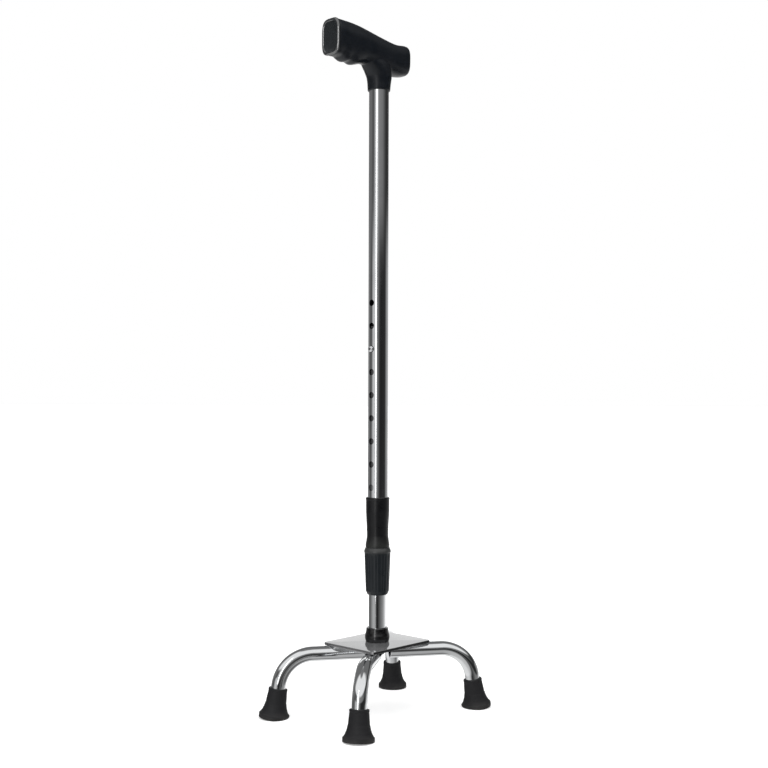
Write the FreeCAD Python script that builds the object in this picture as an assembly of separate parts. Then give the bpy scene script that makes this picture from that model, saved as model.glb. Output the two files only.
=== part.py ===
import FreeCAD, Part
import math
import os
from FreeCAD import Vector

# A height-adjustable walking cane that stands on four feet. Millimetres, +Z up.
# The origin is on the floor under the pole's axis. +X points to the handle's short nose, and the
# adjustment holes, the snap button and the long palm end of the handle are on the -X side.

# ---- driving dimensions -----------------------------------------------------------------------
# Telescopic pole
UPPER_OD = 22.2
LOWER_OD = 19.05
TUBE_WALL = 1.2
UPPER_BOTTOM = 169.8
UPPER_TOP = 725.8
LOWER_TOP = 425.2
TOP_HOLE_Z = 450.6
HOLE_PITCH = 25.4
HOLE_COUNT = 9
HOLE_R = 3.5
BUTTON_HOLE = 2                      # the button stands in the third hole from the top

# Snap button and its leaf spring
BUTTON_R = 3.2
BUTTON_REACH = 13.9                  # from the pole's axis to the top of the dome
BUTTON_DOME = 1.2
BUTTON_CLEARANCE = 0.05
STUB_R = 1.95
STUB_HEAD_R = 3.0
LEAF_T = 0.8
LEAF_WIDTH = 7.0
LEAF_REACH = 7.5                     # from the pole's axis to the leaf's outer face
LEAF_DROP = 28.0                     # from the button down to the centre of the bend

# Base
PLATE_TOP = 78.0
PLATE_T = 3.0
PLATE_LENGTH = 92.0
PLATE_WIDTH = 78.0
PLATE_CORNER_R = 5.0
LEG_OD = 16.0
LEG_WALL = 1.5
LEG_ANGLE = 34.3                     # between each leg and the X axis, seen from above
LEG_SPLAY = 8.5                      # of the leg's lower end, outwards from the vertical
LEG_BEND_R = 37.0
LEG_START = 14.0                     # from the pole's axis to the leg's inner end
FOOT_REACH = 114.2                   # from the pole's axis to the middle of each sole

# Rubber tips
TIP_HEIGHT = 32.4
TIP_TOP_R = 10.0
TIP_WAIST_R = 11.1
TIP_WAIST_Z = 18.6
TIP_FLANGE_R = 16.6
TIP_FLANGE_H = 5.0
TIP_SOLE_T = 9.0
TIP_DISC_T = 1.2
TIP_DISC_R = 8.4
TIP_SINK = 0.6                       # how far the tilted sole is pressed flat by the floor

# Hub under the pole
HUB_TOP = 93.1
PLUG_LENGTH = 22.0
BOLT_R = 4.0
BOLT_LENGTH = 24.0
BOLT_HEAD_H = 5.3
BOLT_HEAD_AF = 13.0
WASHER_R = 8.0
WASHER_T = 1.6
LOCK_WASHER_R = 6.6
LOCK_WASHER_T = 2.1
PLATE_HOLE_R = 4.3

# Collar on the outer tube, with its ferrule and lock nut
COLLAR_TOP = 236.4
COLLAR_SKIRT_Z = 181.5
NECK_R = 12.6
NECK_BOTTOM = 157.8
CONE_MOUTH_R = 11.9
CONE_THROAT_R = 10.6
CONE_LENGTH = 10.0
COLLAR_BORE_R = 10.0
SEAT_GAP = 0.15
FERRULE_BOTTOM = 149.8
FERRULE_FLANGE_R = 11.9
FERRULE_CLEARANCE = 0.05
FERRULE_SLOT = 1.5
NUT_TOP = 181.2
NUT_BOTTOM = 129.4
NUT_RING_R = 14.9
NUT_RING_BOTTOM = 176.0
NUT_TAPER_TOP_R = 14.4
NUT_TAPER_BOTTOM_R = 12.8
NUT_TAPER_BOTTOM = 133.4
NUT_THREAD_R = 12.65
NUT_BORE_R = 9.85
FLUTE_COUNT = 18
FLUTE_R = 1.5
FLUTE_DEPTH = 0.5

# Handle
HANDLE_BACK = -76.0
CAP_T = 3.0
CAVITY_HALF_WIDTH = 9.6
CAVITY_HALF_HEIGHT = 14.6
CAVITY_Z = 731.0
CAVITY_END = -20.0
SPIGOT_LENGTH = 8.0
SPIGOT_WALL = 2.0
HANDLE_NECK_BOTTOM = 685.8
SCREW_Z = 697.8
SCREW_R = 1.9
SCREW_HEAD_R = 3.4
SCREW_SEAT = 12.6                    # from the pole's axis to the underside of the screw's head
SCREW_HEAD_H = 2.2
SCREW_TIP = 8.0
SECTION_POINTS = 20
SECTION_POWER = 3.0                  # 2 is an ellipse, larger is squarer
EGG = 0.03                           # how much wider the handle is above its middle than below

# ---- worked out from them ---------------------------------------------------------------------
UPPER_R = UPPER_OD / 2
UPPER_INNER_R = UPPER_R - TUBE_WALL
LOWER_R = LOWER_OD / 2
LOWER_INNER_R = LOWER_R - TUBE_WALL
BUTTON_Z = TOP_HOLE_Z - BUTTON_HOLE * HOLE_PITCH
PLATE_BOTTOM = PLATE_TOP - PLATE_T
LEG_R = LEG_OD / 2
LEG_Z = PLATE_BOTTOM - LEG_R
LEGS = {
    "front_left": LEG_ANGLE,
    "front_right": -LEG_ANGLE,
    "rear_left": 180 - LEG_ANGLE,
    "rear_right": 180 + LEG_ANGLE,
}
Z_AXIS = Vector(0, 0, 1)
ORIGIN = Vector(0, 0, 0)


# ---- helpers ----------------------------------------------------------------------------------
def turned(outline):
    """The solid that an outline of (radius, z) stretches makes when it is turned about Z.

    A stretch is a point, joined to the last one by a line, or a pair (through, end) for an arc.
    """
    edges, last = [], Vector(outline[0][0], 0, outline[0][1])
    first = last
    for stretch in outline[1:] + [outline[0]]:
        if isinstance(stretch[0], tuple):
            through, end = (Vector(r, 0, z) for r, z in stretch)
            edges.append(Part.Arc(last, through, end).toShape())
        else:
            end = Vector(stretch[0], 0, stretch[1])
            edges.append(Part.makeLine(last, end))
        last = end
    assert last == first
    return Part.Face(Part.Wire(edges)).revolve(ORIGIN, Z_AXIS, 360)


def dome(radius, base, height):
    """The arc stretch of a spherical dome, from its rim at that radius and height to its top."""
    sphere_r = (radius ** 2 + height ** 2) / (2 * height)
    half = math.asin(radius / sphere_r) / 2
    centre = base + height - sphere_r
    return (sphere_r * math.sin(half), centre + sphere_r * math.cos(half)), (0, base + height)


def tube(outer_r, inner_r, bottom, top):
    return cylinder(outer_r, bottom, top).cut(cylinder(inner_r, bottom, top))


def cylinder(radius, bottom, top):
    return Part.makeCylinder(radius, top - bottom, Vector(0, 0, bottom))


def cross_hole(radius, z, side):
    """A cutter for a round hole through one wall of the pole, on its -X (-1) or +X (1) side."""
    return Part.makeCylinder(radius, UPPER_OD, Vector(0, 0, z), Vector(side, 0, 0))


def in_leg_place(shape, angle):
    """A shape drawn over the +X axis, turned to lie over the leg at that angle."""
    return shape.rotated(ORIGIN, Z_AXIS, angle)


def section(x, z_low, z_high, half_width):
    """One closed cross-section of the handle, an egg-shaped superellipse at right angles to X."""
    middle, half_height = (z_low + z_high) / 2, (z_high - z_low) / 2
    points = []
    for i in range(SECTION_POINTS):
        c, s = math.cos(2 * math.pi * i / SECTION_POINTS), math.sin(2 * math.pi * i / SECTION_POINTS)
        y = math.copysign(abs(c) ** (2 / SECTION_POWER), c) * half_width * (1 + EGG * s)
        z = math.copysign(abs(s) ** (2 / SECTION_POWER), s) * half_height
        points.append(Vector(x, y, middle + z))
    curve = Part.BSplineCurve()
    curve.interpolate(Points=points, PeriodicFlag=True)
    return Part.Wire(curve.toShape())


def oval_bar(half_width, half_height, z, start, end):
    """A bar along X with an elliptical section."""
    ellipse = Part.Ellipse(Vector(start, 0, z + half_height), Vector(start, half_width, z),
                           Vector(start, 0, z))
    return Part.Face(Part.Wire(ellipse.toShape())).extrude(Vector(end - start, 0, 0))


# ---- pole -------------------------------------------------------------------------------------
def upper_tube():
    body = tube(UPPER_R, UPPER_INNER_R, UPPER_BOTTOM, UPPER_TOP)
    for i in range(HOLE_COUNT):
        body = body.cut(cross_hole(HOLE_R, TOP_HOLE_Z - i * HOLE_PITCH, -1))
    return body.cut(cross_hole(SCREW_R, SCREW_Z, 1))


def lower_tube():
    body = tube(LOWER_R, LOWER_INNER_R, PLATE_TOP, LOWER_TOP)
    return body.cut(cross_hole(BUTTON_R + BUTTON_CLEARANCE, BUTTON_Z, -1))


def snap_button():
    """A domed pin riveted to the leaf. It is drawn along Z, with z = 0 on the leaf's outer face."""
    shoulder = BUTTON_REACH - LEAF_REACH - BUTTON_DOME
    head = turned([
        (0, -LEAF_T - 0.8), (STUB_HEAD_R - 0.6, -LEAF_T - 0.8), (STUB_HEAD_R, -LEAF_T - 0.1),
        (STUB_HEAD_R, -LEAF_T), (STUB_R, -LEAF_T), (STUB_R, 0), (BUTTON_R, 0), (BUTTON_R, shoulder),
        dome(BUTTON_R, shoulder, BUTTON_DOME),
    ])
    return head.rotated(ORIGIN, Vector(0, 1, 0), -90).translated(Vector(-LEAF_REACH, 0, BUTTON_Z))


def button_spring():
    """A strip of spring steel bent to a U: one arm carries the button, the other bears on the tube."""
    bend_z = BUTTON_Z - LEAF_DROP
    inner = LEAF_REACH - LEAF_T
    slab = Vector(-LEAF_REACH, -LEAF_WIDTH / 2, bend_z)
    button_arm = Part.makeBox(LEAF_T, LEAF_WIDTH, LEAF_DROP + 7, slab)
    back_arm = Part.makeBox(LEAF_T, LEAF_WIDTH, LEAF_DROP - 4, slab + Vector(2 * LEAF_REACH - LEAF_T, 0, 0))
    half_turn = Part.makeCylinder(LEAF_REACH, LEAF_WIDTH, Vector(0, -LEAF_WIDTH / 2, bend_z),
                                  Vector(0, 1, 0))
    half_turn = half_turn.cut(Part.makeCylinder(inner, LEAF_WIDTH, Vector(0, -LEAF_WIDTH / 2, bend_z),
                                                Vector(0, 1, 0)))
    above = Part.makeBox(2 * LEAF_REACH, LEAF_WIDTH, LEAF_REACH, slab)
    stub_hole = Part.makeCylinder(STUB_R + BUTTON_CLEARANCE, LEAF_REACH, Vector(0, 0, BUTTON_Z),
                                  Vector(-1, 0, 0))
    return half_turn.cut(above).fuse([button_arm, back_arm]).removeSplitter().cut(stub_hole)


# ---- collar, ferrule and lock nut -------------------------------------------------------------
def collar_sleeve():
    """Pressed on the outer tube. Its lower neck carries the thread, here a plain cylinder, and ends
    in a cone that closes the ferrule."""
    return turned([
        (UPPER_R, COLLAR_TOP), (12.6, COLLAR_TOP), ((12.98, COLLAR_TOP - 0.15), (13.15, COLLAR_TOP - 0.6)),
        (12.95, 222.0), ((12.45, 209.0), (11.7, 196.0)), (11.7, 193.0), ((12.1, 188.5), (13.1, 184.6)),
        (13.25, 182.8), (13.25, COLLAR_SKIRT_Z), (NECK_R, COLLAR_SKIRT_Z), (NECK_R, NECK_BOTTOM + 0.5),
        (NECK_R - 0.4, NECK_BOTTOM), (CONE_MOUTH_R, NECK_BOTTOM),
        (CONE_THROAT_R, NECK_BOTTOM + CONE_LENGTH), (COLLAR_BORE_R, NECK_BOTTOM + CONE_LENGTH + 0.6),
        (COLLAR_BORE_R, UPPER_BOTTOM), (UPPER_R, UPPER_BOTTOM),
    ])


def split_ferrule():
    """Split on one side, it slides on the inner tube and is wedged in the collar's cone."""
    bore = LOWER_R + FERRULE_CLEARANCE
    nose = NECK_BOTTOM + CONE_LENGTH - 0.4
    body = turned([
        (bore, FERRULE_BOTTOM), (FERRULE_FLANGE_R, FERRULE_BOTTOM), (FERRULE_FLANGE_R, NECK_BOTTOM - 1),
        (CONE_MOUTH_R - SEAT_GAP, NECK_BOTTOM - 0.2), (CONE_THROAT_R - SEAT_GAP, nose), (bore, nose),
    ])
    return body.cut(Part.makeBox(UPPER_OD, FERRULE_SLOT, NUT_TOP - NUT_BOTTOM,
                                 Vector(0, -FERRULE_SLOT / 2, NUT_BOTTOM)))


def lock_nut():
    body = turned([
        (NUT_THREAD_R, NUT_TOP), (14.3, NUT_TOP), ((14.72, NUT_TOP - 0.18), (NUT_RING_R, NUT_TOP - 0.6)),
        (NUT_RING_R, NUT_RING_BOTTOM + 0.4), (NUT_TAPER_TOP_R, NUT_RING_BOTTOM),
        (NUT_TAPER_BOTTOM_R, NUT_TAPER_BOTTOM), ((12.0, NUT_BOTTOM + 1.3), (10.6, NUT_BOTTOM)),
        (NUT_BORE_R, NUT_BOTTOM), (NUT_BORE_R, FERRULE_BOTTOM - 0.1),
        (FERRULE_FLANGE_R + 0.3, FERRULE_BOTTOM - 0.1), (FERRULE_FLANGE_R + 0.3, NECK_BOTTOM - 3),
        (NUT_THREAD_R, NECK_BOTTOM - 2.5),
    ])
    taper = math.degrees(math.atan2(NUT_TAPER_TOP_R - NUT_TAPER_BOTTOM_R, NUT_RING_BOTTOM - NUT_TAPER_BOTTOM))
    foot_r = NUT_TAPER_BOTTOM_R - FLUTE_DEPTH + FLUTE_R
    flute = Part.makeCylinder(FLUTE_R, NUT_RING_BOTTOM - NUT_TAPER_BOTTOM - 4)
    flute = flute.fuse(Part.makeSphere(FLUTE_R)).rotated(ORIGIN, Vector(0, 1, 0), taper)
    flute = flute.translated(Vector(foot_r, 0, NUT_TAPER_BOTTOM + 2))
    return body.cut([flute.rotated(ORIGIN, Z_AXIS, 360 * i / FLUTE_COUNT) for i in range(FLUTE_COUNT)])


# ---- handle -----------------------------------------------------------------------------------
def handle_body():
    """Long palm end to -X with finger swells beneath, short blunt nose to +X, round neck below."""
    back = HANDLE_BACK + CAP_T
    grip = Part.makeLoft([
        section(back, 711.2, 749.4, 12.9),
        section(-63, 710.4, 750.0, 13.3),
        section(-55, 707.2, 750.4, 13.5),
        section(-41, 706.6, 750.0, 13.6),
        section(-29, 711.0, 748.6, 13.4),
        section(-12, 710.8, 745.8, 13.3),
        section(6, 709.2, 743.1, 13.4),
        section(22, 707.6, 742.1, 13.3),
        section(33, 708.3, 743.2, 12.7),
        section(38, 710.4, 742.5, 11.4),
        section(40.4, 714.6, 739.8, 8.4),
    ], True)
    neck = Part.makeLoft([
        neck_ring(HANDLE_NECK_BOTTOM, 0, 12.6, 12.6),
        neck_ring(693, 0.2, 13.1, 13.1),
        neck_ring(700, 0.3, 14.2, 13.5),
        neck_ring(706, -1.4, 16.6, 13.4),
        neck_ring(713, -4.5, 20.5, 12.8),
        neck_ring(720, -6.0, 23.0, 12.0),
    ], True)
    body = grip.fuse(neck)
    body = body.cut(cylinder(UPPER_R, HANDLE_NECK_BOTTOM, UPPER_TOP))
    body = body.cut(oval_bar(CAVITY_HALF_WIDTH, CAVITY_HALF_HEIGHT, CAVITY_Z, back, CAVITY_END))
    screw_way = cross_hole(SCREW_R, SCREW_Z, 1)
    counterbore = Part.makeCylinder(SCREW_HEAD_R, UPPER_OD, Vector(SCREW_SEAT, 0, SCREW_Z), Vector(1, 0, 0))
    return body.cut([screw_way, counterbore])


def neck_ring(z, x, half_length, half_width):
    """One level cross-section of the handle's neck, an ellipse that is longer along X."""
    ellipse = Part.Ellipse(Vector(x + half_length, 0, z), Vector(x, half_width, z), Vector(x, 0, z))
    if half_length == half_width:
        ellipse = Part.Circle(Vector(x, 0, z), Z_AXIS, half_width)
    return Part.Wire(ellipse.toShape())


def handle_end_cap():
    back = HANDLE_BACK + CAP_T
    face = Part.makeLoft([
        section(back, 710.8, 749.8, 13.0),
        section(back - 2.0, 711.0, 749.6, 12.8),
        section(HANDLE_BACK, 712.2, 748.4, 11.6),
    ], True)
    spigot = oval_bar(CAVITY_HALF_WIDTH, CAVITY_HALF_HEIGHT, CAVITY_Z, back, back + SPIGOT_LENGTH)
    hollow = oval_bar(CAVITY_HALF_WIDTH - SPIGOT_WALL, CAVITY_HALF_HEIGHT - SPIGOT_WALL, CAVITY_Z,
                      back, back + SPIGOT_LENGTH)
    return face.fuse(spigot.cut(hollow))


def handle_screw():
    """A pan-head screw through the neck's front wall into the outer tube, drawn along Z."""
    screw = turned([
        (0, SCREW_TIP), (SCREW_R, SCREW_TIP), (SCREW_R, SCREW_SEAT), (SCREW_HEAD_R, SCREW_SEAT),
        (SCREW_HEAD_R, SCREW_SEAT + 1.0), dome(SCREW_HEAD_R, SCREW_SEAT + 1.0, SCREW_HEAD_H - 1.0),
    ])
    return screw.rotated(ORIGIN, Vector(0, 1, 0), 90).translated(Vector(0, 0, SCREW_Z))


# ---- base -------------------------------------------------------------------------------------
def base_plate():
    plate = Part.makeBox(PLATE_LENGTH, PLATE_WIDTH, PLATE_T,
                         Vector(-PLATE_LENGTH / 2, -PLATE_WIDTH / 2, PLATE_BOTTOM))
    upright = [e for e in plate.Edges if abs(e.tangentAt(e.FirstParameter).z) > 0.9]
    plate = plate.makeFillet(PLATE_CORNER_R, upright)
    return plate.cut(cylinder(PLATE_HOLE_R, PLATE_BOTTOM, PLATE_TOP))


def leg_corner():
    """Where the leg's level run would meet its splayed run, if the leg weren't bent round."""
    return FOOT_REACH - (LEG_Z + TIP_SINK) * math.tan(math.radians(LEG_SPLAY))


def bent_rod(radius):
    """The leg's outline over the +X axis: a level run, a bend, and a splayed run into the tip."""
    turn = 90 - LEG_SPLAY
    setback = LEG_BEND_R * math.tan(math.radians(turn / 2))
    bend_x = leg_corner() - setback
    face = Part.Face(Part.Wire(Part.Circle(Vector(LEG_START, 0, LEG_Z), Vector(1, 0, 0), radius).toShape()))
    level = face.extrude(Vector(bend_x - LEG_START, 0, 0))
    face = face.translated(Vector(bend_x - LEG_START, 0, 0))
    bend_centre = Vector(bend_x, 0, LEG_Z - LEG_BEND_R)
    bend = face.revolve(bend_centre, Vector(0, 1, 0), turn)
    face = face.rotated(bend_centre, Vector(0, 1, 0), turn)
    whole = (LEG_Z + TIP_SINK) / math.cos(math.radians(LEG_SPLAY))
    run = whole - setback - TIP_SOLE_T - TIP_DISC_T
    down = Vector(math.sin(math.radians(LEG_SPLAY)), 0, -math.cos(math.radians(LEG_SPLAY)))
    return level.fuse([bend, face.extrude(down * run)])


def leg(angle):
    return in_leg_place(bent_rod(LEG_R).cut(bent_rod(LEG_R - LEG_WALL)), angle)


def on_foot(shape, angle):
    """A shape drawn about Z from z = 0 at the sole, tilted and carried to the end of that leg."""
    shape = shape.rotated(ORIGIN, Vector(0, 1, 0), -LEG_SPLAY).translated(Vector(FOOT_REACH, 0, -TIP_SINK))
    return in_leg_place(shape, angle)


def tip(angle):
    """A flared rubber cup. The floor has pressed part of its tilted sole flat."""
    cup = turned([
        (0, 0), (TIP_FLANGE_R - 1.2, 0), ((TIP_FLANGE_R - 0.35, 0.35), (TIP_FLANGE_R, 1.2)),
        (TIP_FLANGE_R, TIP_FLANGE_H - 0.8),
        ((TIP_FLANGE_R - 0.3, TIP_FLANGE_H - 0.1), (TIP_FLANGE_R - 1.1, TIP_FLANGE_H + 0.6)),
        ((TIP_WAIST_R + 1.3, TIP_FLANGE_H + 6.4), (TIP_WAIST_R, TIP_WAIST_Z)),
        (TIP_TOP_R, TIP_HEIGHT - 0.8), (TIP_TOP_R - 0.8, TIP_HEIGHT), (LEG_R, TIP_HEIGHT),
        (LEG_R, TIP_SOLE_T + TIP_DISC_T), (TIP_DISC_R, TIP_SOLE_T + TIP_DISC_T),
        (TIP_DISC_R, TIP_SOLE_T), (0, TIP_SOLE_T),
    ])
    below = Part.makeBox(4 * FOOT_REACH, 4 * FOOT_REACH, TIP_HEIGHT,
                         Vector(-2 * FOOT_REACH, -2 * FOOT_REACH, -TIP_HEIGHT))
    return on_foot(cup, angle).cut(below)


def tip_disc(angle):
    return on_foot(cylinder(TIP_DISC_R, TIP_SOLE_T, TIP_SOLE_T + TIP_DISC_T), angle)


def hub_boss():
    """The moulded boss over the foot of the inner tube, widest just above the plate."""
    return turned([
        (LOWER_R, HUB_TOP), (11.2, HUB_TOP), ((11.75, HUB_TOP - 0.25), (12.0, HUB_TOP - 0.8)),
        (12.5, HUB_TOP - 4.5), ((13.4, HUB_TOP - 8), (13.6, HUB_TOP - 10.5)),
        ((13.3, PLATE_TOP + 2.2), (12.6, PLATE_TOP)), (LOWER_R, PLATE_TOP),
    ])


def tube_plug():
    """Pressed into the inner tube's foot. Its thread is a plain bore of the bolt's size."""
    return tube(LOWER_INNER_R, BOLT_R, PLATE_TOP, PLATE_TOP + PLUG_LENGTH)


def base_washer():
    return tube(WASHER_R, PLATE_HOLE_R, PLATE_BOTTOM - WASHER_T, PLATE_BOTTOM)


def base_lock_washer():
    """A spring washer: a ring cut through on one side."""
    top = PLATE_BOTTOM - WASHER_T
    ring = tube(LOCK_WASHER_R, BOLT_R + 0.1, top - LOCK_WASHER_T, top)
    gap = Part.makeBox(WASHER_R, 0.8, LOCK_WASHER_T, Vector(0, -0.4, top - LOCK_WASHER_T))
    return ring.cut(gap.rotated(Vector(0, 0, top - LOCK_WASHER_T / 2), Vector(1, 0, 0), 25))


def base_bolt():
    seat = PLATE_BOTTOM - WASHER_T - LOCK_WASHER_T
    corner_r = BOLT_HEAD_AF / 2 / math.cos(math.radians(30))
    corners = [Vector(corner_r * math.cos(math.radians(60 * i)), corner_r * math.sin(math.radians(60 * i)),
                      seat - BOLT_HEAD_H) for i in range(7)]
    head = Part.Face(Part.makePolygon(corners)).extrude(Vector(0, 0, BOLT_HEAD_H))
    return head.fuse(cylinder(BOLT_R, seat, seat + BOLT_LENGTH)).removeSplitter()


# ---- every piece, one file each ---------------------------------------------------------------
def pieces():
    made = {
        "upper_tube": upper_tube(),
        "lower_tube": lower_tube(),
        "snap_button": snap_button(),
        "button_spring": button_spring(),
        "collar_sleeve": collar_sleeve(),
        "split_ferrule": split_ferrule(),
        "lock_nut": lock_nut(),
        "handle_body": handle_body(),
        "handle_end_cap": handle_end_cap(),
        "handle_screw": handle_screw(),
        "base_plate": base_plate(),
        "hub_boss": hub_boss(),
        "tube_plug": tube_plug(),
        "base_bolt": base_bolt(),
        "base_washer": base_washer(),
        "base_lock_washer": base_lock_washer(),
    }
    for corner, angle in LEGS.items():
        made["leg_" + corner] = leg(angle)
        made["tip_" + corner] = tip(angle)
        made["tip_disc_" + corner] = tip_disc(angle)
    return made


def main():
    os.makedirs("parts", exist_ok=True)
    for node, shape in pieces().items():
        assert shape.isValid() and len(shape.Solids) == 1, node
        shape.exportStep(f"parts/{node}.step")
        box = shape.optimalBoundingBox(False)
        print(f"{node:22} {shape.Volume / 1000:8.2f} cm3  z {box.ZMin:7.2f} to {box.ZMax:7.2f}")


main()
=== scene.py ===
import math

import bpy
from mathutils import Matrix, Vector, noise


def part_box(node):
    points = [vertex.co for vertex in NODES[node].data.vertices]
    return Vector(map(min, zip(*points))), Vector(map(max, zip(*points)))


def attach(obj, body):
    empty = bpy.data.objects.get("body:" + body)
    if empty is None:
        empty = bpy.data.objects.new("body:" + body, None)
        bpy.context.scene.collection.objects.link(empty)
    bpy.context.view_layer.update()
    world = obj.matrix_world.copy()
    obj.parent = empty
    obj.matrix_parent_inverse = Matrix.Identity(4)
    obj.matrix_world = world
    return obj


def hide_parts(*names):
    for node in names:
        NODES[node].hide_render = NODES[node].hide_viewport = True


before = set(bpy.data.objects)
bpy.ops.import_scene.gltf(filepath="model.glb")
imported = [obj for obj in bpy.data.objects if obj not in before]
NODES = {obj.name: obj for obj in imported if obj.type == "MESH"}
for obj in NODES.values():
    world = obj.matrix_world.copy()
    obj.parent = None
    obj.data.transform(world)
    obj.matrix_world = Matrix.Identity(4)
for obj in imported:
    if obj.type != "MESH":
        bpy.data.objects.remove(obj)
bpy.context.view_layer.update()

# A chrome walking cane on four splayed legs. Metres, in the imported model's frame: +Z up, the pole's
# axis on Z, the handle's nose to +X, and the adjustment holes and the snap button to -X.

MM = 0.001
CORNERS = ("front_left", "front_right", "rear_left", "rear_right")


# ---- sizes taken from the frame, and the few that its boxes can't tell ----
OUTER_LOW, OUTER_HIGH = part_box("upper_tube")
INNER_LOW, INNER_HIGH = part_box("lower_tube")
PLATE_LOW, PLATE_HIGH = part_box("base_plate")
HUB_LOW, HUB_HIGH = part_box("hub_boss")
COLLAR_LOW, COLLAR_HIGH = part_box("collar_sleeve")
NUT_LOW, NUT_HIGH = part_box("lock_nut")
BODY_LOW, BODY_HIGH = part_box("handle_body")
CAP_LOW, CAP_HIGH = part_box("handle_end_cap")
BUTTON_LOW, BUTTON_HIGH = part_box("snap_button")
SCREW_LOW, SCREW_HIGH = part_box("handle_screw")
BOLT_LOW, BOLT_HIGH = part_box("base_bolt")
WASHER_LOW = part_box("base_washer")[0]

OUTER_R = OUTER_HIGH.x
INNER_R = INNER_HIGH.x
TUBE_WALL = 1.2 * MM
HOLE_PITCH = 25.4 * MM
HOLE_R = 3.5 * MM
BUTTON_Z = (BUTTON_LOW.z + BUTTON_HIGH.z) / 2
BUTTON_R = BUTTON_HIGH.y
HOLES = [BUTTON_Z + HOLE_PITCH * n for n in (2, 1, 0, -1, -2, -3, -4, -5, -6)]
BUTTON_CLEARANCE = 0.05 * MM
SCREW_Z = (SCREW_LOW.z + SCREW_HIGH.z) / 2
SCREW_SEAT = 12.6                    # mm from the pole's axis to the underside of the screw's head

LEG_ANGLES = {"front_left": 34.3, "front_right": -34.3, "rear_left": 145.7, "rear_right": 214.3}
LEG_R = 8 * MM
LEG_WALL = 1.5 * MM
LEG_SPLAY = math.radians(8.5)
LEG_BEND_R = 37 * MM
LEG_START = 14 * MM
LEG_Z = PLATE_LOW.z - LEG_R
FOOT_REACH = 114.2 * MM
TIP_SINK = 0.6 * MM
TIP_HEIGHT = 32.4 * MM
TIP_FLANGE_R = 16.6 * MM
TIP_FLOOR = 10.2 * MM                # from the sole up to the leg's end, inside the tip


# ---- mesh helpers ----
def new_object(name, data):
    made = bpy.data.objects.new(name, data)
    bpy.context.scene.collection.objects.link(made)
    return made


def mesh_object(name, points, faces, material, sharp=35):
    """A smooth-shaded object whose edges sharper than that many degrees stay crisp."""
    mesh = bpy.data.meshes.new(name)
    mesh.from_pydata([tuple(p) for p in points], [], faces)
    mesh.validate()
    mesh.polygons.foreach_set("use_smooth", [True] * len(mesh.polygons))
    mesh.set_sharp_from_angle(angle=math.radians(sharp))
    mesh.materials.append(material)
    return new_object(name, mesh)


def skin(name, rings, material, closed=True, sharp=35):
    """The surface through rings of points. A ring of one point closes it, as at a dome's top.

    closed joins the last ring back to the first, as for a tube's outer and inner walls.
    """
    points, starts = [], []
    for ring in rings:
        starts.append(len(points))
        points += ring
    faces = []
    pairs = list(zip(range(len(rings)), range(1, len(rings))))
    if closed:
        pairs.append((len(rings) - 1, 0))
    for a, b in pairs:
        na, nb = len(rings[a]), len(rings[b])
        for i in range(max(na, nb)):
            j = (i + 1) % max(na, nb)
            if na == 1:
                faces.append((starts[a], starts[b] + j, starts[b] + i))
            elif nb == 1:
                faces.append((starts[a] + i, starts[a] + j, starts[b]))
            else:
                faces.append((starts[a] + i, starts[a] + j, starts[b] + j, starts[b] + i))
    return mesh_object(name, points, faces, material, sharp)


def rounded(outline, steps=4):
    """A closed (radius, z) outline in metres, from corners in mm.

    A corner given as (r, z, fillet) is rounded by an arc of that radius.
    """
    out = []
    for k, corner in enumerate(outline):
        here = Vector(corner[:2])
        fillet = corner[2] if len(corner) > 2 else 0
        if not fillet:
            out.append(here * MM)
            continue
        to_last = (Vector(outline[k - 1][:2]) - here).normalized()
        to_next = (Vector(outline[(k + 1) % len(outline)][:2]) - here).normalized()
        half = to_last.angle(to_next) / 2
        centre = here + (to_last + to_next).normalized() * fillet / math.sin(half)
        first = here + to_last * fillet / math.tan(half) - centre
        last = here + to_next * fillet / math.tan(half) - centre
        turn = first.angle_signed(last)
        for i in range(steps + 1):
            spoke = first.copy()
            spoke.rotate(Matrix.Rotation(-turn * i / steps, 2))
            out.append((centre + spoke) * MM)
    return out


def circle(radius, z, segments, warp=None):
    """A level ring of points about the Z axis. warp changes the radius by (radius, angle, z)."""
    if radius < 1e-7:
        return [Vector((0, 0, z))]
    ring = []
    for i in range(segments):
        a = 2 * math.pi * i / segments
        r = warp(radius, a, z) if warp else radius
        ring.append(Vector((r * math.cos(a), r * math.sin(a), z)))
    return ring


def lathe(name, outline, material, segments=96, warp=None, sharp=35):
    """An outline of (radius, z) points in metres turned about Z. It is closed unless it meets the axis."""
    open_ended = outline[0][0] < 1e-7 and outline[-1][0] < 1e-7
    rings = [circle(r, z, segments, warp) for r, z in outline]
    return skin(name, rings, material, not open_ended, sharp)


def divided(outline, longest):
    """An outline in metres with its long stretches cut into pieces no longer than that."""
    out = []
    for k, here in enumerate(outline):
        there = outline[(k + 1) % len(outline)]
        cuts = max(1, math.ceil((Vector(there) - Vector(here)).length / longest))
        out += [Vector(here).lerp(Vector(there), i / cuts) for i in range(cuts)]
    return out


def move(piece, matrix):
    """Moves a piece's own mesh, and leaves its object where it is."""
    piece.data.transform(matrix)
    return piece


def place(piece, body, slot, *stands_for):
    """Rides a finished piece on its body and hides the CAD nodes it stands for. slot is not used."""
    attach(piece, body)
    if stands_for:
        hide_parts(*stands_for)
    return piece


def along_x(z, sign):
    """Turns a shape drawn along Z to point along X (sign 1) or -X (sign -1), at that height."""
    return Matrix.Translation((0, 0, z)) @ Matrix.Rotation(sign * math.pi / 2, 4, "Y")


def boolean(piece, other, operation="DIFFERENCE"):
    """Cuts another solid out of a piece, or joins it on, for good, and removes the other."""
    modifier = piece.modifiers.new("boolean", "BOOLEAN")
    modifier.operation, modifier.solver, modifier.object = operation, "EXACT", other
    settle(piece)
    bpy.data.objects.remove(other)


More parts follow.
